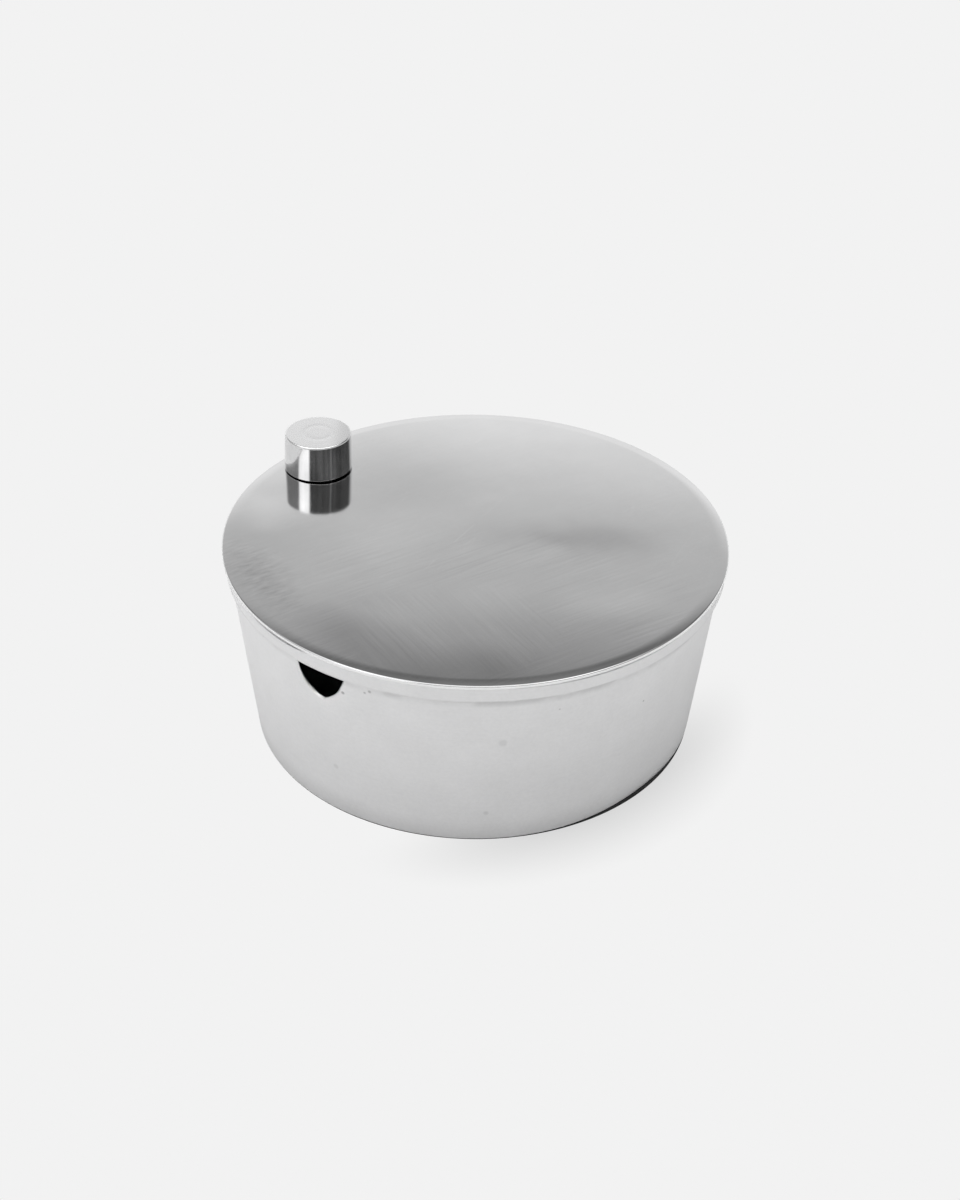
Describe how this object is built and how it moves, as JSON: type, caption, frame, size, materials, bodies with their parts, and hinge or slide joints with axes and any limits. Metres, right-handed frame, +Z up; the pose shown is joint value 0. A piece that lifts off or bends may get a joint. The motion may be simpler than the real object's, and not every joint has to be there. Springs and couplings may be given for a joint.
{
  "type": "dappen dish",
  "caption": "Shallow tapered metal dish with a half-round notch under its rim and a lift-off skirted lid carried by an off-centre finger knob.",
  "frame": {"origin": "centre of the underside of the base plate, which is also the centre of the object's footprint", "axes": "+Z up along the dish's axis, -Y out through the wall's notch, so the knob stands near -X"},
  "size_m": [0.1, 0.1, 0.0485],
  "materials": {
    "satin_steel": "fine satin, light wear",
    "polished_steel": "polished, with fine polishing scratches",
    "bright_turned_steel": "bright turned, with faint turning rings",
    "zinc_plated_steel": "zinc plated, matt"
  },
  "bodies": {
    "dish": {"base_plate": "satin_steel", "body_wall": "satin_steel"},
    "lid": {"lid_plate": "polished_steel", "lid_skirt": "satin_steel", "knob": "bright_turned_steel", "knob_washer": "zinc_plated_steel", "knob_screw": "zinc_plated_steel"}
  },
  "joints": [
    {"name": "lid_lift", "type": "slide", "parent": "dish", "child": "lid", "axis": [0, 0, 1], "range_m": [0, 0.06]}
  ]
}
